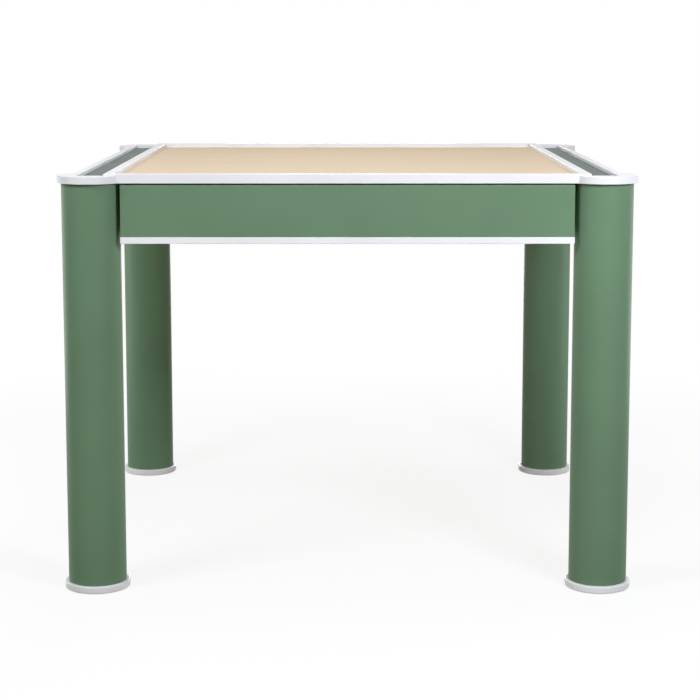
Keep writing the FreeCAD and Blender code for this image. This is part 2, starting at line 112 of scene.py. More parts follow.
def rounded(corners, radii, steps=4, closed=True):
    """An outline with rounded corners: its points, their outward directions, how much of an edge each
    point is, and how far it can be drawn in before a corner would turn inside out.

    The outline runs anticlockwise. At a corner the heading turns by an angle, and the arc that takes its
    place starts radius * tan(turn / 2) before the corner. The arc's points are its centre plus the radius
    along directions that sweep the turn evenly, or minus the radius where the outline turns right and is
    hollow. An open outline keeps its two ends as they are, and has radii for the corners between them.
    """
    corners = np.asarray(corners, float)
    path = np.vstack([corners[-1:], corners, corners[:1]]) if closed else corners
    middle = path[1:-1]
    radii = np.broadcast_to(np.asarray(radii, float), len(middle))
    heading = np.diff(path, axis=0)
    heading /= np.linalg.norm(heading, axis=1, keepdims=True)
    before, after = heading[:-1], heading[1:]
    turn = np.arctan2(before[:, 0] * after[:, 1] - before[:, 1] * after[:, 0], (before * after).sum(1))
    start = middle - before * (radii * np.tan(np.abs(turn) / 2))[:, None]
    side = np.stack([heading[:, 1], -heading[:, 0]], 1)
    signed = radii * np.sign(turn)
    centre = start - side[:-1] * signed[:, None]

    share = np.linspace(0, 1, steps + 1)
    angle = np.arctan2(side[:-1, 1], side[:-1, 0])[:, None] + turn[:, None] * share
    outward = np.stack([np.cos(angle), np.sin(angle)], -1)
    points = (centre[:, None] + outward * signed[:, None, None]).reshape(-1, 2)
    outward = outward.reshape(-1, 2)
    is_edge = (turn > 0) & (radii > FINEST_EDGE) & (radii < BOLDEST_EDGE)
    edge = (is_edge[:, None] * np.sin(math.pi * share)).reshape(-1)
    room = np.repeat(np.where(turn > 0, DRAW_IN_LIMIT * radii, np.inf), steps + 1)
    if not closed:
        points = np.vstack([corners[:1], points, corners[-1:]])
        outward = np.vstack([side[:1], outward, side[-1:]])
        edge = np.concatenate([[0], edge, [0]])
        room = np.concatenate([[np.inf], room, [np.inf]])
    apart = np.linalg.norm(points - np.roll(points, 1, 0), axis=1) > SAME_POINT
    return points[apart], outward[apart], edge[apart], room[apart]


def circle(centre, radius, steps=96):
    """A whole circle: a round stretch of one full turn, whose corners are rounded in four steps each."""
    return rounded(round_stretch(centre, radius, 0, 2 * math.pi, steps // 4), radius)


test_circle = circle((0, 0), 1)[0]
off = np.ptp(np.linalg.norm(test_circle, axis=1))
print("a circle has", len(test_circle), "points; radius off by", off)

# %% [markdown]
# ## Surfaces
# Two functions turn outlines into pieces. One carries an outline along an axis and eases both ends, as
# a router bit eases the rim of a board. The other turns a profile about a vertical axis, as a lathe
# does. Blender's own curves and Screw modifier could do both, but then the direction of the surface is
# only guessed from its faces. Here each function gives a grid of points and the true direction at each
# of them, worked out as whole arrays. A third value, called rim, is 1 in the middle of an eased edge
# and 0 on the flats; the lacquer reads it later to tint the edges there with a rubbed look, and on the
# green films also with a paler painted highlight.

# %% Carry an outline, turn a profile
PLANES = {"x": (1, 2, 0), "y": (2, 0, 1), "z": (0, 1, 2)}


def carried(outline, axis, low, high, ease, steps=3):
    """An outline carried along an axis from low to high, its two ends eased by a pair of radii.

    t runs through a quarter turn at each end. The outline is drawn in by ease * (1 - cos t), it stops
    ease * (1 - sin t) short of the end, and the surface faces cos t outward and sin t along the axis.
    At a sharp corner the drawing in stops at the room that the corner has.
    """
    points, outward, edge, room = outline
    first, second, along = PLANES[axis]
    quarter = np.linspace(0, math.pi / 2, steps + 1)
    t = np.concatenate([-quarter[::-1], quarter])
    is_low = np.arange(len(t)) <= steps
    radius = np.where(is_low, ease[0], ease[1])
    level = np.where(is_low, low + radius * (1 + np.sin(t)), high - radius * (1 - np.sin(t)))
    inset = np.minimum(radius[:, None], room) * (1 - np.cos(t))[:, None]
    drawn_in = points - inset[..., None] * outward
    grid = np.empty((len(t), len(points), 3))
    grid[..., first] = drawn_in[..., 0]
    grid[..., second] = drawn_in[..., 1]
    grid[..., along] = level[:, None]
    facing = np.empty_like(grid)
    facing[..., first] = np.cos(t)[:, None] * outward[:, 0]
    facing[..., second] = np.cos(t)[:, None] * outward[:, 1]
    facing[..., along] = np.sin(t)[:, None]
    end_edge = np.abs(np.sin(2 * t)) * (radius > FINEST_EDGE)
    rim = np.maximum(end_edge[:, None], edge * np.cos(t)[:, None])
    return grid, facing, rim


def turned(profile, centre, steps=96):
    """A profile of radius and height turned about a vertical axis.

    A point is the centre plus the radius along the direction of an angle, at the profile's height, and the
    surface faces along that direction and up as the profile does.
    """
    points, outward, edge = profile[:3]
    angle = np.linspace(0, 2 * math.pi, steps, endpoint=False)
    spoke = np.stack([np.cos(angle), np.sin(angle)], 1)
    grid = np.empty((len(points), steps, 3))
    grid[..., :2] = np.asarray(centre)[:2] + points[:, 0, None, None] * spoke
    grid[..., 2] = points[:, 1, None]
    facing = np.empty_like(grid)
    facing[..., :2] = outward[:, 0, None, None] * spoke
    facing[..., 2] = outward[:, 1, None]
    rim = np.repeat(edge[:, None], steps, 1)
    return grid, facing, rim


test_peg = carried(circle((0, 0), 1), "z", 0, 2, (0.1, 0.1))[0]
print("a test peg has", test_peg.shape[0], "rings of", test_peg.shape[1], "points")

# %% [markdown]
# ## Pieces
# A finished piece stands for one node of the frame. It rides on the node's body, hides the node, and
# takes the finish that it is given. The mesh could be built face by face with bmesh. Filling it from
# whole arrays is quicker and shorter: the points, the quads between neighbouring rings, and one face at
# each end. The exact surface directions go in as custom normals.


def box_of(node):
    """Lowest and highest corner of a node of the frame, as arrays."""
    low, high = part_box(node)
    return np.array(low), np.array(high)


def ring_faces(rings, count, offset):
    """Quads between neighbouring rings, and one face that closes each end."""
    index = offset + np.arange(rings * count).reshape(rings, count)
    ahead = np.roll(index, -1, 1)
    quads = np.stack([index[:-1], ahead[:-1], ahead[1:], index[1:]], -1).reshape(-1, 4)
    return quads.tolist() + [index[0, ::-1].tolist(), index[-1].tolist()]


def put(node, blocks, finish):
    """Fills one mesh from blocks of points and lets it stand for a node of the frame."""
    name = node + "_finished"
    grids, facings, rims = zip(*blocks)
    starts = np.cumsum([0] + [rim.size for rim in rims])
    faces = []
    for rim, start in zip(rims, starts):
        faces += ring_faces(*rim.shape, start)
    mesh = bpy.data.meshes.new(name)
    points = np.concatenate([grid.reshape(-1, 3) for grid in grids])
    mesh.from_pydata(points, [], faces, shade_flat=False)
    rim_value = mesh.attributes.new("rim", "FLOAT", "POINT")
    rim_value.data.foreach_set("value", np.concatenate([rim.ravel() for rim in rims]))
    directions = np.concatenate([facing.reshape(-1, 3) for facing in facings])
    mesh.normals_split_custom_set_from_vertices(directions)
    mesh.materials.append(finish)
    piece = bpy.data.objects.new(name, mesh)
    bpy.context.scene.collection.objects.link(piece)
    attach(piece, frame["nodes"][node]["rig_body"])
    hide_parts(node)


# %% [markdown]
# ## Finishes
# Colours are written as they would be picked from a paint card and turned to linear light by one
# function. A second function adds any node with its settings and links, so that a finish reads as a
# short list of layers. Every pattern is sized in millimetres and laid out in the piece's own space, so
# it neither slides nor stretches.


# %% Helpers for materials
def linear(paint):
    """A paint card colour such as #5B7D55 as linear red, green, blue and alpha."""
    shares = np.array([int(paint[i:i + 2], 16) for i in (1, 3, 5)]) / 255
    light = np.where(shares <= 0.04045, shares / 12.92, ((shares + 0.055) / 1.055) ** 2.4)
    return (*light.tolist(), 1.0)


def add(tree, kind, sockets=(), output=None, **settings):
    """Adds one node and gives its first live output, or the one named.

    Settings are the node's own options. Each socket gets a value, or a link where it is given an output.
    """
    node = tree.nodes.new("ShaderNode" + kind)
    for name, value in settings.items():
        setattr(node, name, value)
    for name, value in dict(sockets).items():
        socket = next(item for item in node.inputs if name in (item.identifier, item.name))
        if isinstance(value, bpy.types.NodeSocket):
            tree.links.new(value, socket)
        else:
            socket.default_value = value
    if output:
        return node.outputs[output]
    live = [item for item in node.outputs if item.enabled]
    return live[0] if live else None


def new_finish(name):
    """An empty material and its node tree."""
    material = bpy.data.materials.new(name)
    material.use_nodes = True
    material.node_tree.nodes.clear()
    return material, material.node_tree


print("mid grey in linear light:", linear("#808080")[0])

# %% [markdown]
# ### Sprayed lacquer
# Legs, aprons and drawer faces are sprayed with a green satin lacquer, and the top with a white one.
# Strips and feet have a white painted a little brighter than the top's, as painted light for the weaker
# light that reaches them, and with more gloss. A sprayed film is never quite even: it dries with a faint
# orange peel, its gloss drifts a little from place to place, and edges are the first to be rubbed; on
# the green films the paler rubbed edges are partly a painted highlight. One colour and one roughness would
# look like plastic, so noise patterns give the drift, and the rim value from the mesh says where the edges
# are.

# %% Lacquer
PEEL = 2.4 * MM  # real orange peel is nearer 1 mm, drawn coarser so that it shows
CLOUD = 140 * MM  # how far apart the lighter and darker places of the film lie
SCUFF = 9 * MM  # the length of a rubbed place on an edge


def lacquer(name, film, rubbed_and_highlight_colour, roughness, mirror):
    """A satin film: drifting tone and gloss, orange peel, and edges a little paler, partly rubbed and
    partly painted highlight.
    """
    material, tree = new_finish(name)
    place = add(tree, "TexCoord", output="Object")
    cloud = add(tree, "TexNoise", {"Vector": place, "Scale": 1 / CLOUD, "Detail": 4.0})
    peel = add(tree, "TexNoise", {"Vector": place, "Scale": 1 / PEEL, "Detail": 2.0})
    scuff = add(tree, "TexNoise", {"Vector": place, "Scale": 1 / SCUFF, "Detail": 5.0})
    rim = add(tree, "Attribute", output="Fac", attribute_name="rim")

    middle = {"From Min": 0.3, "From Max": 0.7}
    drift = add(tree, "MapRange", {"Value": cloud, **middle, "To Min": 0.95, "To Max": 1.04})
    tone = add(tree, "VectorMath", {"Vector": linear(film)[:3], "Scale": drift}, operation="SCALE")
    rubbed = add(tree, "MapRange", {"Value": scuff, "From Min": 0.4, "From Max": 0.75, "To Max": 0.7})
    rubbed_and_highlight_mask = add(tree, "Math", {"Value": rim, "Value_001": rubbed}, operation="MULTIPLY")
    film_with_rubbed_and_highlight_edges = {"Factor_Float": rubbed_and_highlight_mask, "A_Color": tone, "B_Color": linear(rubbed_and_highlight_colour)}
    colour = add(tree, "Mix", film_with_rubbed_and_highlight_edges, data_type="RGBA")
    gloss = {"Value": cloud, **middle, "To Min": roughness - 0.03, "To Max": roughness + 0.05}
    bump = add(tree, "Bump", {"Height": peel, "Strength": 0.3, "Distance": 0.05 * MM})
    film_layer = {"Base Color": colour, "Roughness": add(tree, "MapRange", gloss), "Normal": bump}
    film_layer["Specular IOR Level"] = mirror
    add(tree, "OutputMaterial", {"Surface": add(tree, "BsdfPrincipled", film_layer)})
    return material


# A soft green, a white with a breath of lilac in it, a white painted brighter for the feet and strips as
# painted light for the weaker light there, and a grey green for the floor of the troughs.
# The second colour of each lacquer is its rubbed edge: paler on the green and grey green films, where it is
# partly a painted highlight, and darker on the whites.
GREEN = lacquer("green satin lacquer, sprayed", "#69876B", "#98AE94", 0.46, 0.12)
WHITE = lacquer("white satin lacquer, sprayed", "#E9E9EE", "#DEDCD8", 0.40, 0.30)
WHITE_PAINTED_BRIGHTER = lacquer("pure white gloss lacquer, sprayed", "#F0F0F4", "#E4E2DE", 0.32, 0.40)
TROUGH = lacquer("grey green satin lacquer, sprayed", "#55605A", "#8B948D", 0.48, 0.14)
print("lacquers:", [finish.name for finish in (GREEN, WHITE, WHITE_PAINTED_BRIGHTER, TROUGH)])

# %% [markdown]
# ### Veneer, plywood and beech
# The playing field is a pale, matt veneer: no gloss, and a grain so quiet that it only just breaks the
# colour. Drawer boxes, the deck under the top, its cheeks and its divider are birch plywood, which
# shows calm faces and, on every edge, the alternating stripes of its layers. Runners, stops and corner
# blocks are plain beech with its short dark flecks. A Wave texture could draw the grain, but its lines
# are too even for wood. Noise drawn out along the board looks sawn, and no two boards come out alike.

# %% Grain and veneer
AXES = ("x", "y", "z")


def grain(tree, place, run, fibre, streak):
    """Noise drawn out along the run of the wood: long streaks, narrow across."""
    stretch = [1 / streak if axis == run else 1 / fibre for axis in AXES]
    drawn_out = add(tree, "VectorMath", {"Vector": place, "Vector_001": stretch}, operation="MULTIPLY")
    return add(tree, "TexNoise", {"Vector": drawn_out, "Scale": 1.0, "Detail": 5.0, "Roughness": 0.6})


def veneer(name, pale, deep, run):
    """A matt, close grained sheet: faint long figure, finer fibres over it, hardly any gloss."""
    material, tree = new_finish(name)
    place = add(tree, "TexCoord", output="Object")
    figure = grain(tree, place, run, fibre=38 * MM, streak=520 * MM)
    fibres = grain(tree, place, run, fibre=2.5 * MM, streak=70 * MM)
    both = add(tree, "Mix", {"Factor_Float": 0.35, "A_Float": figure, "B_Float": fibres})
    tint = add(tree, "MapRange", {"Value": both, "From Min": 0.3, "From Max": 0.7})
    tones = {"A_Color": linear(pale), "B_Color": linear(deep)}
    colour = add(tree, "Mix", {"Factor_Float": tint, **tones}, data_type="RGBA")
    bump = add(tree, "Bump", {"Height": fibres, "Strength": 0.25, "Distance": 0.05 * MM})
    matt = add(tree, "MapRange", {"Value": fibres, "To Min": 0.78, "To Max": 0.92})
    sheet = {"Base Color": colour, "Roughness": matt, "Normal": bump, "Specular IOR Level": 0.18}
    add(tree, "OutputMaterial", {"Surface": add(tree, "BsdfPrincipled", sheet)})
    return material


FIELD = veneer("pale matt veneer, sanded", "#EBD7BF", "#E3CDB1", "x")
print("playing field:", FIELD.name)

# %% Plywood
PLY = 1.5 * MM  # one layer
FACE_SHARE = 0.7  # a surface that looks this squarely along the thickness is a face, any other is an edge


def plywood(through, run):
    """Birch plywood: calm faces, and on the edges the stripes of its layers through the thickness."""
    material, tree = new_finish("birch plywood, clear matt, layers through " + through)
    place = add(tree, "TexCoord", output="Object")
    normal = add(tree, "TexCoord", output="Normal")
    figure = grain(tree, place, run, fibre=14 * MM, streak=260 * MM)
    birch = {"A_Color": linear("#E6D2AC"), "B_Color": linear("#CBAC7C")}
    face = add(tree, "Mix", {"Factor_Float": figure, **birch}, data_type="RGBA")
    depth = add(tree, "SeparateXYZ", {"Vector": place}, output=through.upper())
    layer = add(tree, "Math", {"Value": depth, "Value_001": PLY}, operation="PINGPONG")
    stripe = add(tree, "MapRange", {"Value": layer, "From Min": 0.4 * PLY, "From Max": 0.6 * PLY})
    long_and_end_grain = {"A_Color": linear("#DCC193"), "B_Color": linear("#A67C4C")}
    edge = add(tree, "Mix", {"Factor_Float": stripe, **long_and_end_grain}, data_type="RGBA")
    facing = add(tree, "SeparateXYZ", {"Vector": normal}, output=through.upper())
    squarely = add(tree, "Math", {"Value": facing}, operation="ABSOLUTE")
    flat = add(tree, "Math", {"Value": squarely, "Value_001": FACE_SHARE}, operation="GREATER_THAN")
    colour = add(tree, "Mix", {"Factor_Float": flat, "A_Color": edge, "B_Color": face}, data_type="RGBA")
    bump = add(tree, "Bump", {"Height": figure, "Strength": 0.2, "Distance": 0.06 * MM})
    rough = add(tree, "MapRange", {"Value": figure, "To Min": 0.55, "To Max": 0.7})
    board = {"Base Color": colour, "Roughness": rough, "Normal": bump}
    add(tree, "OutputMaterial", {"Surface": add(tree, "BsdfPrincipled", board)})
    return material


PLYWOOD = {"x": plywood("x", "y"), "y": plywood("y", "x"), "z": plywood("z", "x")}
print("plywood:", [wood.name for wood in PLYWOOD.values()])


# %% Beech
def beech(run):
    """Waxed beech: an even warm tone with short dark flecks along the grain."""
    material, tree = new_finish("beech, waxed, grain along " + run)
    place = add(tree, "TexCoord", output="Object")
    figure = grain(tree, place, run, fibre=9 * MM, streak=180 * MM)
    flecks = grain(tree, place, run, fibre=1.6 * MM, streak=9 * MM)
    early_and_late_wood = {"A_Color": linear("#D9B28A"), "B_Color": linear("#BC8C60")}
    plain = add(tree, "Mix", {"Factor_Float": figure, **early_and_late_wood}, data_type="RGBA")
    is_fleck = add(tree, "MapRange", {"Value": flecks, "From Min": 0.6, "From Max": 0.72, "To Max": 0.6})
    flecked = {"Factor_Float": is_fleck, "A_Color": plain, "B_Color": linear("#8A5C3A")}
    colour = add(tree, "Mix", flecked, data_type="RGBA")
    rough = add(tree, "MapRange", {"Value": figure, "To Min": 0.42, "To Max": 0.58})
    bump = add(tree, "Bump", {"Height": flecks, "Strength": 0.2, "Distance": 0.05 * MM})
    waxed = {"Base Color": colour, "Roughness": rough, "Normal": bump}
    add(tree, "OutputMaterial", {"Surface": add(tree, "BsdfPrincipled", waxed)})
    return material


BEECH = {"y": beech("y"), "z": beech("z")}
print("beech:", [wood.name for wood in BEECH.values()])

# %% [markdown]
# ### Steel and felt
# The hardware is zinc plated: a cool grey metal whose crystals give it a slightly cloudy gloss. One
# even gloss would make it chrome, so a noise of the crystals' size drives tone and roughness together.
# The pads under the feet are pressed wool felt, which swallows light and shows a tangle of fibres.
# Real hairs would be the other way to make it, but the pads are hardly seen.

# %% Zinc plated steel
CRYSTAL = 3 * MM  # real zinc crystals are finer, drawn coarser so that they show


def zinc_plate():
    """Zinc plated steel: a cloudy grey metal, brighter and duller by turns."""
    material, tree = new_finish("zinc plated steel")
    place = add(tree, "TexCoord", output="Object")
    cloud = add(tree, "TexNoise", {"Vector": place, "Scale": 1 / CRYSTAL, "Detail": 3.0})
    zinc = {"A_Color": linear("#C9CCD0"), "B_Color": linear("#A9ADB3")}
    colour = add(tree, "Mix", {"Factor_Float": cloud, **zinc}, data_type="RGBA")
    rough = add(tree, "MapRange", {"Value": cloud, "To Min": 0.25, "To Max": 0.45})
    bump = add(tree, "Bump", {"Height": cloud, "Strength": 0.15, "Distance": 0.02 * MM})
    plate = {"Base Color": colour, "Metallic": 1.0, "Roughness": rough, "Normal": bump}
    add(tree, "OutputMaterial", {"Surface": add(tree, "BsdfPrincipled", plate)})
    return material


STEEL = zinc_plate()
print("hardware:", STEEL.name)

# %% Wool felt
FIBRE = 0.9 * MM  # real fibres are finer, drawn coarser so that they show


def pressed_felt():
    """Pressed wool felt: dark, without gloss, with a tangle of fibres."""
    material, tree = new_finish("wool felt, pressed")
    place = add(tree, "TexCoord", output="Object")
    fibres = add(tree, "TexNoise", {"Vector": place, "Scale": 1 / FIBRE, "Detail": 6.0, "Distortion": 2.0})
    shades = {"A_Color": linear("#3E3D3B"), "B_Color": linear("#6B6966")}
    colour = add(tree, "Mix", {"Factor_Float": fibres, **shades}, data_type="RGBA")
    rough = add(tree, "MapRange", {"Value": fibres, "To Min": 0.9, "To Max": 1.0})
    bump = add(tree, "Bump", {"Height": fibres, "Strength": 0.6, "Distance": 0.3 * MM})
    wool = {"Base Color": colour, "Roughness": rough, "Normal": bump, "Sheen Weight": 0.4}
    add(tree, "OutputMaterial", {"Surface": add(tree, "BsdfPrincipled", wool)})
    return material


FELT = pressed_felt()
print("pads:", FELT.name)

# %% [markdown]
# ## Legs and feet
# Each leg is a plain cylinder of 102 mm, cut from glued stock, turned and sprayed. A white disc a
# little wider than the leg is screwed under it, and a felt pad sits in a shallow recess of the disc.
# Cylinders with a Bevel modifier would do from afar. Here a leg is a circle carried upwards, and the
# disc is turned as one profile that starts on the ceiling of the recess, so that its rim and its recess
# come out of one curve.

# %% Legs, feet and pads
CORNERS = ("front_left", "front_right", "rear_left", "rear_right")
LEG_EASE = 1.2 * MM
FOOT_EASE = 2.5 * MM
PAD_RECESS = 2 * MM
PAD_CLEARANCE = 0.1 * MM
FINE = 0.5 * MM  # the easing of a thin sheet
TIGHT = 0.1 * MM  # the small easing of an edge in a joint that should stay closed to the eye


def round_of(node):
    """Middle and radius of an upright round piece."""
    low, high = box_of(node)
    return (low + high) / 2, (high - low)[0] / 2


pads_low, pads_high = box_of("felt_pads")
leg_middle, LEG_RADIUS = round_of("leg_front_left")
PAD_RADIUS = leg_middle[0] - pads_low[0]
recess_radius = PAD_RADIUS + PAD_CLEARANCE
pad_blocks = []
for corner in CORNERS:
    middle, radius = round_of("leg_" + corner)
    low, high = box_of("leg_" + corner)
    leg = carried(circle(middle, radius), "z", low[2], high[2], (LEG_EASE, LEG_EASE))
    put("leg_" + corner, [leg], GREEN)

    foot_radius = round_of("foot_" + corner)[1]
    low, high = box_of("foot_" + corner)
    ceiling = low[2] + PAD_RECESS
    profile = rounded(
        [
            (TIGHT, ceiling),
            (recess_radius, ceiling),
            (recess_radius, low[2]),
            (foot_radius, low[2]),
            (foot_radius, high[2]),
            (TIGHT, high[2]),
        ],
        (TIGHT, FINE, FOOT_EASE, FOOT_EASE),
        steps=6,
        closed=False,
    )
    put("foot_" + corner, [turned(profile, middle)], WHITE_PAINTED_BRIGHTER)
    pad_blocks.append(carried(circle(middle, PAD_RADIUS), "z", pads_low[2], pads_high[2], (FINE, TIGHT)))
put("felt_pads", pad_blocks, FELT)
print("leg radius", LEG_RADIUS, "foot radius", foot_radius, "pad radius", PAD_RADIUS)

# %% [markdown]
# ## Base board of the top
# The lowest layer of the top is one board, square with a round lobe over each leg, sawn to a template.
# A Boolean union of a square and four discs would leave ragged faces where they meet. The outline here
# is drawn for one corner and turned by quarter turns: it runs up the straight edge, swings round the
# lobe, and leaves along the next edge. Where lobe and edge meet, the saw leaves a small hollow.

# %% Base board
EASED = 0.9 * MM  # the easing of the rim of a board
ROUND = 1 * MM  # the rounding of the long edges of a rail
LOBE_HOLLOW = 2 * MM
LOBE_PIECES = 16  # arcs in a lobe
TIP_ROOM = 3 * MM  # a round stretch stops this far before a tip, which leaves room to round the tip

low, high = box_of("base_board")
HALF = -leg_middle[0]  # from the table's middle to the axis of a leg
LOBE = high[0] - HALF  # radius of a lobe
EDGE = -box_of("frame_rail_front")[0][1]  # from the table's middle to the straight edge of the top


def quarter_turned(corners, turns):
    """Points turned about the table's middle by quarter turns."""
    angle = turns * math.pi / 2
    return corners @ np.array([[math.cos(angle), math.sin(angle)], [-math.sin(angle), math.cos(angle)]])


beside = EDGE - HALF
reach = math.sqrt(LOBE ** 2 - beside ** 2)
first_angle = math.atan2(-reach, beside) + TIP_ROOM / LOBE
last_angle = math.atan2(beside, -reach) - TIP_ROOM / LOBE
axis_point = (HALF, HALF)
one_corner = np.vstack([
    tangent_corner(axis_point, LOBE, first_angle, 0, EDGE),
    round_stretch(axis_point, LOBE, first_angle, last_angle, LOBE_PIECES),
    tangent_corner(axis_point, LOBE, last_angle, 1, EDGE),
])
lobed = np.vstack([quarter_turned(one_corner, turns) for turns in range(4)])
lobed_radii = ([LOBE_HOLLOW] + [LOBE] * LOBE_PIECES + [LOBE_HOLLOW]) * 4
board = carried(rounded(lobed, lobed_radii), "z", low[2], high[2], (EASED, TIGHT))
put("base_board", [board], WHITE)
print("lobe radius", LOBE, "straight edge at", EDGE, "outline points", board[2].shape[1])

# %% [markdown]
# ## Corner caps and tray rails
# Over each lobe lies a cap of the same curve. Its inner side has a step that closes the end of the
# trough. The outer tray rail fits between two caps and is hollowed at both ends to sit against them.
# Side aprons and their strips are coped to the legs in just the same way, so one function draws all of
# these bars. Cutting the hollows with a Boolean would work as well, but drawn in the outline they keep
# their eased edges.

# %% Corner caps
FIT = 0.1 * MM
liner_low, liner_high = box_of("tray_liner_right")
TRAY_OUT = liner_high[0] + FIT
TRAY_IN = liner_low[0] - FIT


def mirrored(corners, radii, across_x, across_y):
    """An outline mirrored by two signs, with its direction kept anticlockwise."""
    corners = np.asarray(corners) * (across_x, across_y)
    radii = np.asarray(radii)
    if across_x * across_y < 0:
        return corners[::-1], radii[::-1]
    return corners, radii


out, inside = TRAY_OUT - HALF, HALF - TRAY_IN
first_angle = math.atan2(math.sqrt(LOBE ** 2 - out ** 2), -out) + TIP_ROOM / LOBE
last_angle = math.atan2(-beside, reach) + 2 * math.pi - TIP_ROOM / LOBE
cap_corners = np.vstack([
    tangent_corner((0, 0), LOBE, first_angle, 0, -out),
    round_stretch((0, 0), LOBE, first_angle, last_angle, LOBE_PIECES),
    tangent_corner((0, 0), LOBE, last_angle, 1, -beside),
    (inside, -beside),
    (inside, -out),
    (-out, -out),
])
cap_radii = [TIGHT] + [LOBE] * LOBE_PIECES + [TIGHT, TIGHT, TIGHT, ROUND]
for corner in CORNERS:
    middle = round_of("leg_" + corner)[0]
    low, high = box_of("corner_cap_" + corner)
    corners, radii = mirrored(cap_corners, cap_radii, -np.sign(middle[0]), -np.sign(middle[1]))
    cap = carried(rounded(corners + middle[:2], radii), "z", low[2], high[2], (TIGHT, EASED))
    put("corner_cap_" + corner, [cap], WHITE)
print("cap height", high[2] - low[2], "trough from", TRAY_IN, "to", TRAY_OUT)

# %% Tray rails, side aprons and side strips
COPE_PIECES = 2  # arcs in a hollow


def coped_bar(node, hollow, ease):
    """A bar along Y between two legs' axes, its ends hollowed to a radius about them.

    A side of the bar meets the hollow at the angle whose cosine is the side's distance from the axis
    divided by the radius.
    """
    low, high = box_of(node)
    side = np.sign(low[0] + high[0])
    near, far = sorted(np.abs([low[0], high[0]]))
    near_angle = math.acos((near - HALF) / hollow) - TIP_ROOM / hollow
    far_angle = math.acos((far - HALF) / hollow) + TIP_ROOM / hollow
    front_axis = (HALF, -HALF)
    front_end = np.vstack([
        tangent_corner(front_axis, hollow, near_angle, 0, near),
        round_stretch(front_axis, hollow, near_angle, far_angle, COPE_PIECES),
        tangent_corner(front_axis, hollow, far_angle, 0, far),
    ])
    rear_end = (front_end * (1, -1))[::-1]
    end_radii = [TIGHT] + [hollow] * COPE_PIECES + [TIGHT]
    corners, radii = mirrored(np.vstack([front_end, rear_end]), end_radii * 2, side, 1)
    return carried(rounded(corners, radii), "z", low[2], high[2], ease)


SIDES = ("left", "right")
for side in SIDES:
    put("tray_rail_" + side, [coped_bar("tray_rail_" + side, LOBE + FIT, (TIGHT, EASED))], WHITE)
    put("side_apron_" + side, [coped_bar("side_apron_" + side, LEG_RADIUS + FIT, (TIGHT, EASED))], GREEN)
    put("side_trim_" + side, [coped_bar("side_trim_" + side, LEG_RADIUS + FIT, (EASED, EASED))], WHITE_PAINTED_BRIGHTER)

# %% [markdown]
# ## Frame, field and troughs
# Four raised rails frame the playing field. The field is a thin panel dropped between them, a little
# lower than the rails, and a thin lacquered liner lies in each trough. Scaled cubes would do, but a
# scaled object stretches whatever pattern lies on it. So each is a rectangle as large as the frame's
# own box, with its edges and ends eased.


# %% Frame rails, playing field, tray liners
def bar(node, axis, edges, ends):
    """A rectangle as large as the node's box, carried along an axis.

    Edges are the radii of the four corners in turn: low low, high low, high high, low high, in the plane
    across the axis. Ends are the easing at the low end and at the high end.
    """
    low, high = box_of(node)
    first, second, along = PLANES[axis]
    corners = [
        (low[first], low[second]),
        (high[first], low[second]),
        (high[first], high[second]),
        (low[first], high[second]),
    ]
    return carried(rounded(corners, edges), axis, low[along], high[along], ends)


ENDS = ("front", "rear")
for end in ENDS:
    rail = bar("frame_rail_" + end, "x", (TIGHT, TIGHT, ROUND, ROUND), (EASED, EASED))
    put("frame_rail_" + end, [rail], WHITE)
for side in SIDES:
    rail = bar("frame_rail_" + side, "y", (TIGHT, ROUND, ROUND, TIGHT), (TIGHT, TIGHT))
    put("frame_rail_" + side, [rail], WHITE)
    put("tray_liner_" + side, [bar("tray_liner_" + side, "z", FINE, (TIGHT, TIGHT))], TROUGH)
put("play_panel", [bar("play_panel", "z", FINE, (TIGHT, TIGHT))], FIELD)

# %% [markdown]
# ## Drawers
# A drawer is a wide green face with a white strip along its lower edge, and a plywood box behind it.
# The strip stands a little proud and is what the fingers pull. Each box side has a groove outside, in
# which it hangs on its runner, and a slot inside for the bottom. Two Boolean cuts would make them, with
# edges left sharp. A router cuts both along the whole side, so here the section is one outline with
# twelve corners, carried along the drawer.

# %% Drawer faces and strips
FACE_EDGE = 2 * MM  # the rounding of the four corners of a face
FACE_EASE = 3 * MM  # the easing around its outer side
OUTSIDE = {"front": (FACE_EASE, FINE), "rear": (FINE, FACE_EASE)}
for end in ENDS:
    put("drawer_face_" + end, [bar("drawer_face_" + end, "y", FACE_EDGE, OUTSIDE[end])], GREEN)
    put("drawer_trim_" + end, [bar("drawer_trim_" + end, "x", ROUND, (EASED, EASED))], WHITE_PAINTED_BRIGHTER)

# %% Drawer boxes
BOX_EDGE = 0.8 * MM
SLOT_EDGE = 0.2 * MM
SLOT_CLEARANCE = 0.1 * MM  # around the bottom
GROOVE_GAP = 0.3 * MM  # above and below the runner
GROOVE_DEPTH_GAP = 0.5 * MM  # beside the runner


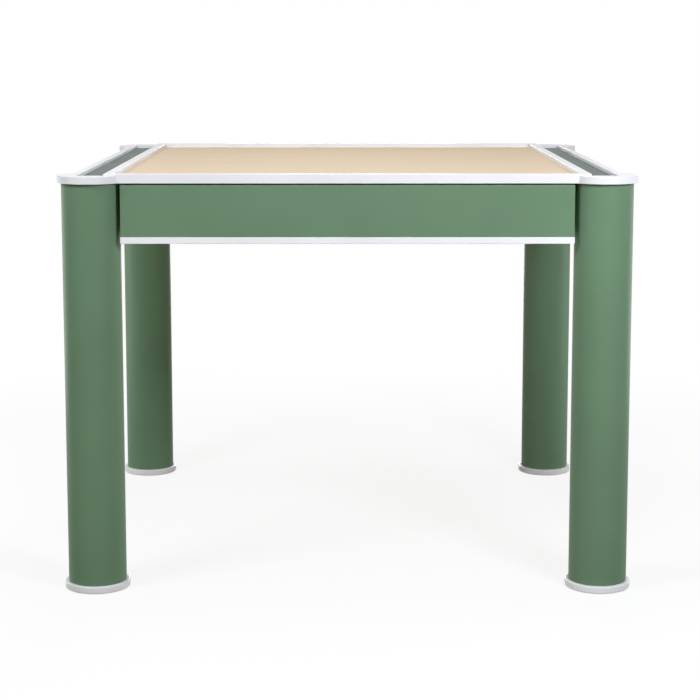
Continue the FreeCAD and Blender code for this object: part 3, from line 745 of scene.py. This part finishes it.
def side_section(end, side):
    """The section of a box side, in height and distance from the middle, with its groove and its slot."""
    low, high = box_of(f"drawer_side_{end}_{side}")
    bottom_low, bottom_high = box_of("drawer_bottom_" + end)
    runner_low, runner_high = box_of(f"runner_{end}_{side}")
    inner, outer = sorted(np.abs([low[0], high[0]]))
    groove = min(np.abs([runner_low[0], runner_high[0]])) - GROOVE_DEPTH_GAP
    slot = bottom_high[0] + SLOT_CLEARANCE
    slot_low, slot_high = bottom_low[2] - SLOT_CLEARANCE, bottom_high[2] + SLOT_CLEARANCE
    groove_low, groove_high = runner_low[2] - GROOVE_GAP, runner_high[2] + GROOVE_GAP
    corners = [
        (low[2], inner),
        (slot_low, inner),
        (slot_low, slot),
        (slot_high, slot),
        (slot_high, inner),
        (high[2], inner),
        (high[2], outer),
        (groove_high, outer),
        (groove_high, groove),
        (groove_low, groove),
        (groove_low, outer),
        (low[2], outer),
    ]
    radii = [BOX_EDGE] + [SLOT_EDGE] * 4 + [BOX_EDGE] * 2 + [SLOT_EDGE] * 4 + [BOX_EDGE]
    return mirrored(corners, radii, 1, np.sign(low[0]))


for end in ENDS:
    for side in SIDES:
        node = f"drawer_side_{end}_{side}"
        low, high = box_of(node)
        board = carried(rounded(*side_section(end, side)), "y", low[1], high[1], (TIGHT, TIGHT))
        put(node, [board], PLYWOOD["x"])
    put("drawer_back_" + end, [bar("drawer_back_" + end, "x", BOX_EDGE, (TIGHT, TIGHT))], PLYWOOD["y"])
    put("drawer_bottom_" + end, [bar("drawer_bottom_" + end, "z", FINE, (TIGHT, TIGHT))], PLYWOOD["z"])

# %% [markdown]
# ## Hardware
# Two lag bolts hold each leg to its corner block. A hexagonal prism on a cylinder would leave a hidden
# face between them, so head and shank are one surface, whose rings turn from round to hexagon at the
# head. The deck is held up to the top by countersunk screws whose cross recess is pressed into the
# head: a polar grid over the head is sunk wherever it lies near one of two crossed lines.

# %% Leg bolts
BOLT_HEAD = 18.5 * MM  # across the corners
BOLT_HEAD_THICK = 6.4 * MM
BOLT_SHANK = 5 * MM  # radius
BOLT_POINT = 3 * MM
BOLT_CHAMFER = 0.9 * MM
BOLT_SIDES = 48  # points in a ring, a multiple of six so that the hexagon's corners are among them
CRISP = 0.25 * MM  # the small bevel of an edge that should look sharp
FLATS = BOLT_HEAD / 2 * math.cos(math.pi / 6)  # from the axis to a flat of the hexagon


def hexagon_bolt(centre, seat, tip, facing):
    """A lag bolt along Y: rings widen from its point to the shank, step out to the hexagon head and close
    on top of it.

    At an angle from one of its corners a hexagon reaches as far as half its width across the flats,
    divided by the cosine of the angle to the middle of the nearest flat.
    """
    angle = np.linspace(0, 2 * math.pi, BOLT_SIDES, endpoint=False)
    hexagon = FLATS / np.cos(np.mod(angle, math.pi / 3) - math.pi / 6)
    shank = np.array([TIGHT, BOLT_SHANK, BOLT_SHANK, BOLT_SHANK + CRISP])
    head = hexagon + np.array([-CRISP, 0, 0])[:, None]
    top = np.array([FLATS - CRISP, TIGHT])
    round_ring = np.ones(BOLT_SIDES)
    radius = np.vstack([np.outer(shank, round_ring), head, np.outer(top, round_ring)])
    length = abs(seat - tip)
    shank_height = [-length, BOLT_POINT - length, -CRISP, 0]
    head_height = [0, CRISP, BOLT_HEAD_THICK - BOLT_CHAMFER]
    height = np.array([*shank_height, *head_height, BOLT_HEAD_THICK, BOLT_HEAD_THICK])
    grid = np.empty((*radius.shape, 3))
    grid[..., 0] = centre[0] + radius * np.cos(angle)
    grid[..., 1] = seat + facing * height[:, None]
    grid[..., 2] = centre[1] + radius * np.sin(angle)
    # Towards +Y the angle runs clockwise, which would turn the faces inside out.
    grid = grid[:, ::-1] if facing > 0 else grid
    around = np.roll(grid, -1, 1) - np.roll(grid, 1, 1)
    outward = np.cross(around, np.gradient(grid, axis=0))
    outward /= np.linalg.norm(outward, axis=2, keepdims=True)
    return grid, outward, np.zeros(radius.shape)


bolts_low, bolts_high = box_of("leg_bolts")
bolt_blocks = []
for corner in CORNERS:
    middle = round_of("leg_" + corner)[0]
    facing = -np.sign(middle[1])
    block_low, block_high = box_of("corner_block_" + corner)
    seat = block_high[1] if facing > 0 else block_low[1]
    tip = bolts_low[1] if facing > 0 else bolts_high[1]
    for level in (bolts_low[2] + FLATS, bolts_high[2] - FLATS):
        bolt_blocks.append(hexagon_bolt((middle[0], level), seat, tip, facing))
put("leg_bolts", bolt_blocks, STEEL)
print("bolts:", len(bolt_blocks), "from", bolts_low, "to", bolts_high)

# %% Deck screws
SCREW_HEAD = 4 * MM  # radius
SCREW_SHANK = 2 * MM  # radius
SCREW_SINK = 2.5 * MM  # height of the head's cone
SCREW_POINT = 1.5 * MM
SCREW_SIDES = 72  # points in a ring
SCREWS_IN_ROW = 4
HEAD_RINGS = 14
HEAD_START = 0.05  # the first ring of the head, as a share of its width
CROSS_WIDTH = 0.8 * MM  # half the width of an arm at the surface
CROSS_DEPTH = 0.9 * MM
CROSS_REACH = 2.6 * MM  # length of an arm from the axis
CROSS_SLOPE = 0.6 * MM  # length of the slope at the end of an arm


def countersunk_screw(centre, low, high):
    """A screw whose head looks down, its cross recess pressed up into the head.

    Rings widen from the middle of the head to its rim, close along the cone to the shank, and end in a
    point. On the head a point is raised by the depth of the recess times how near it lies to the nearer
    of the two crossed lines, times how far it is inside the arms' reach.
    """
    head = np.linspace(HEAD_START, 1, HEAD_RINGS) * (SCREW_HEAD - CRISP)
    radius = np.concatenate([head, [SCREW_HEAD, SCREW_SHANK, SCREW_SHANK, TIGHT]])
    shank_level = [low + CRISP, low + SCREW_SINK, high - SCREW_POINT, high]
    level = np.concatenate([np.full(HEAD_RINGS, low), shank_level])
    angle = np.linspace(0, 2 * math.pi, SCREW_SIDES, endpoint=False)
    across = radius[:, None] * np.stack([np.cos(angle), np.sin(angle)])[:, None, :]
    near_line = np.clip((CROSS_WIDTH - np.abs(across).min(0)) / (CROSS_WIDTH / 2), 0, 1)
    within = np.clip((CROSS_REACH - radius) / CROSS_SLOPE, 0, 1)[:, None]
    on_head = (np.arange(len(radius)) < HEAD_RINGS)[:, None]
    grid = np.empty((len(radius), SCREW_SIDES, 3))
    grid[..., 0] = centre[0] + across[0]
    grid[..., 1] = centre[1] + across[1]
    grid[..., 2] = level[:, None] + CROSS_DEPTH * near_line * within * on_head
    around = np.roll(grid, -1, 1) - np.roll(grid, 1, 1)
    facing = np.cross(around, np.gradient(grid, axis=0))
    facing /= np.linalg.norm(facing, axis=2, keepdims=True)
    return grid, facing, np.zeros(grid.shape[:2])


screws_low, screws_high = box_of("deck_screws")
screw_x = screws_high[0] - SCREW_HEAD
screw_y = screws_high[1] - SCREW_HEAD
screw_blocks = []
for x in (-screw_x, screw_x):
    for y in np.linspace(-screw_y, screw_y, SCREWS_IN_ROW):
        screw_blocks.append(countersunk_screw((x, y), screws_low[2], screws_high[2]))
put("deck_screws", screw_blocks, STEEL)
print("deck screws:", len(screw_blocks), "in rows at", screw_x)

# %% [markdown]
# ## Pieces kept from the frame
# The deck, the cheeks and the divider that carry the runners, the runners themselves, the stops and the
# corner blocks are flat sawn pieces seen only from underneath or with a drawer pulled out. They could
# be made anew like the others, but their shapes in the frame are already right. So they stay and only
# get their woods, each with its layers or its grain in the true direction, and the small screws of the
# runners and feet stay with them.

# %% Woods and steel for the pieces that stay
KEPT = {
    "deck": PLYWOOD["z"],
    "cheek_left": PLYWOOD["x"],
    "cheek_right": PLYWOOD["x"],
    "centre_divider": PLYWOOD["y"],
    "drawer_stop_front": BEECH["y"],
    "drawer_stop_rear": BEECH["y"],
    "runner_screws": STEEL,
    "foot_screws": STEEL,
}
for corner in CORNERS:
    KEPT["corner_block_" + corner] = BEECH["z"]
    KEPT["runner_" + corner] = BEECH["y"]
for node, finish in KEPT.items():
    for slot in bpy.data.objects[node].material_slots:
        slot.material = finish
print("kept pieces:", len(KEPT))

# %% [markdown]
# ## Floor and surroundings
# The photograph shows the table cut out on pure white with hardly a shadow. The surroundings look white
# to the camera and in reflections, but give only a weak light, so that the lamps do the modelling. The
# floor is a pale disc that keeps a faint shadow near the feet and fades to pure white around it. To
# light that bounces on it, it is a warm grey, so that the legs stay darker towards the ground. More
# light on a white floor would do the same for the floor, but it would bleach the table too.

# %% Floor
FLOOR_RADIUS = 30.0
FLOOR_SIDES = 96
FLOOR_DROP = 0.5 * MM  # below the pads, so that the two surfaces never flicker
FADE_FROM, FADE_TO = 0.7, 2.0  # metres from the table's middle, between which the shadow fades away
SHADOW_SHARE = 0.15  # how much of the real shadow is kept near the feet


def seen_directly(tree):
    """1 for light that runs straight to the camera, into a reflection or through a clear piece, else 0."""
    straight = add(tree, "LightPath", output="Is Camera Ray")
    reflected = add(tree, "LightPath", output="Is Glossy Ray")
    through = add(tree, "LightPath", output="Is Transmission Ray")
    either = add(tree, "Math", {"Value": straight, "Value_001": reflected}, operation="ADD")
    return add(tree, "Math", {"Value": either, "Value_001": through}, operation="ADD", use_clamp=True)


angle = np.linspace(0, 2 * math.pi, FLOOR_SIDES, endpoint=False)
depth = np.full(FLOOR_SIDES, -FLOOR_DROP)
floor_points = np.stack([FLOOR_RADIUS * np.cos(angle), FLOOR_RADIUS * np.sin(angle), depth], 1)
floor_mesh = bpy.data.meshes.new("studio_floor")
floor_mesh.from_pydata(floor_points, [], [list(range(FLOOR_SIDES))])
floor = bpy.data.objects.new("studio_floor", floor_mesh)
bpy.context.scene.collection.objects.link(floor)

floor_finish, tree = new_finish("studio floor, pale paper")
place = add(tree, "TexCoord", output="Object")
distance = add(tree, "VectorMath", {"Vector": place}, output="Value", operation="LENGTH")
fading = {"From Min": FADE_FROM, "From Max": FADE_TO, "To Min": 1 - SHADOW_SHARE, "To Max": 1.0}
fade = add(tree, "MapRange", {"Value": distance, **fading}, interpolation_type="SMOOTHSTEP")
paper = add(tree, "BsdfDiffuse", {"Color": linear("#FFFFFF")})
glow = add(tree, "Emission", {"Color": linear("#FFFFFF"), "Strength": 1.0})
bounce = add(tree, "BsdfDiffuse", {"Color": linear("#BEB6A6")})
faded = add(tree, "MixShader", {"Fac": fade, "Shader": paper, "Shader_001": glow})
surface = add(tree, "MixShader", {"Fac": seen_directly(tree), "Shader": bounce, "Shader_001": faded})
add(tree, "OutputMaterial", {"Surface": surface})
floor_mesh.materials.append(floor_finish)
print("floor radius", FLOOR_RADIUS)

# %% Surroundings
AMBIENT = 0.05  # strength of the light that the surroundings give
world = bpy.data.worlds.new("white studio")
world.use_nodes = True
bpy.context.scene.world = world
tree = world.node_tree
tree.nodes.clear()
dim = add(tree, "Background", {"Color": linear("#F4F7FA"), "Strength": AMBIENT})
white = add(tree, "Background", {"Color": linear("#FFFFFF"), "Strength": 1.0})
sky = add(tree, "MixShader", {"Fac": seen_directly(tree), "Shader": dim, "Shader_001": white})
add(tree, "OutputWorld", {"Surface": sky})
print("surroundings:", world.name)

# %% [markdown]
# ## Lamps
# Two soft boxes high in front do the modelling. The right one is smaller and nearer, so the drawer and
# the legs are brightest at the right and fade towards the floor. One overhead lights the field. Two
# weak ones low at the sides and one behind keep the table readable from there. No lamp shines in from
# the middle in front, so the inner sides of the far legs stay dark, as they are in the photograph. A
# single sun or an even sky would be simpler, but it lights both ends of the drawer alike.

# %% Soft boxes
LAMPS = {  # place, side length in metres, watts, colour
    "front right soft box": ((1.0, -1.7, 1.38), 0.5, 25.5, "#F6F8FF"),
    "front left soft box": ((-1.6, -1.6, 1.9), 0.8, 31, "#FAFDFF"),
    "overhead soft box": ((0.0, 0.3, 2.9), 1.6, 25, "#FFFDF8"),
    "left side soft box": ((-1.4, 0.5, 0.35), 0.5, 3.4, "#FFFFFF"),
    "right side soft box": ((1.4, 0.5, 0.35), 0.5, 3.2, "#FFFFFF"),
    "rear soft box": ((0.0, 2.8, 0.62), 0.8, 27, "#FFFFFF"),
}
AIM = Vector((0.0, 0.0, 0.55))
for name, (place, size, watts, colour) in LAMPS.items():
    lamp = bpy.data.lights.new(name, "AREA")
    lamp.shape = "SQUARE"
    lamp.size = size
    lamp.energy = watts
    lamp.color = linear(colour)[:3]
    lamp_object = bpy.data.objects.new(name, lamp)
    lamp_object.location = place
    lamp_object.rotation_euler = (Vector(place) - AIM).to_track_quat("Z", "Y").to_euler()
    lamp_object.visible_camera = False
    bpy.context.scene.collection.objects.link(lamp_object)
print("lamps:", list(LAMPS))

# %% [markdown]
# ## Camera
# The photograph was taken from in front, about 3.6 m away and 96 cm above the floor, with a lens that
# sees about 22 degrees. Lines that stand upright stay upright in it, so its picture was shifted down
# rather than the camera tilted. A full shift would cut the table off in views from other sides, so most
# of it is traded for a tilt of about eight degrees.

# %% Camera
FRAME_WIDTH = 700  # pixels in the photograph
FOCAL_LENGTH = 1842  # the photograph's focal length in its pixels, fitted to the edges of the legs
SENSOR = 36  # mm
TILT = 7.82  # degrees downwards
SWING = -0.11  # degrees to the left
SHIFT = -0.08  # share of the frame
STANDPOINT = (-0.0018, -3.632, 0.9627)

camera = bpy.data.cameras.new("camera")
camera.sensor_width = SENSOR
camera.lens = FOCAL_LENGTH / FRAME_WIDTH * SENSOR
camera.shift_y = SHIFT
camera_object = bpy.data.objects.new("camera", camera)
camera_object.location = STANDPOINT
camera_object.rotation_euler = (math.radians(90 - TILT), 0, math.radians(SWING))
bpy.context.scene.collection.objects.link(camera_object)
bpy.context.scene.camera = camera_object
bpy.context.scene.view_settings.view_transform = "Standard"
print("lens", camera.lens, "mm")
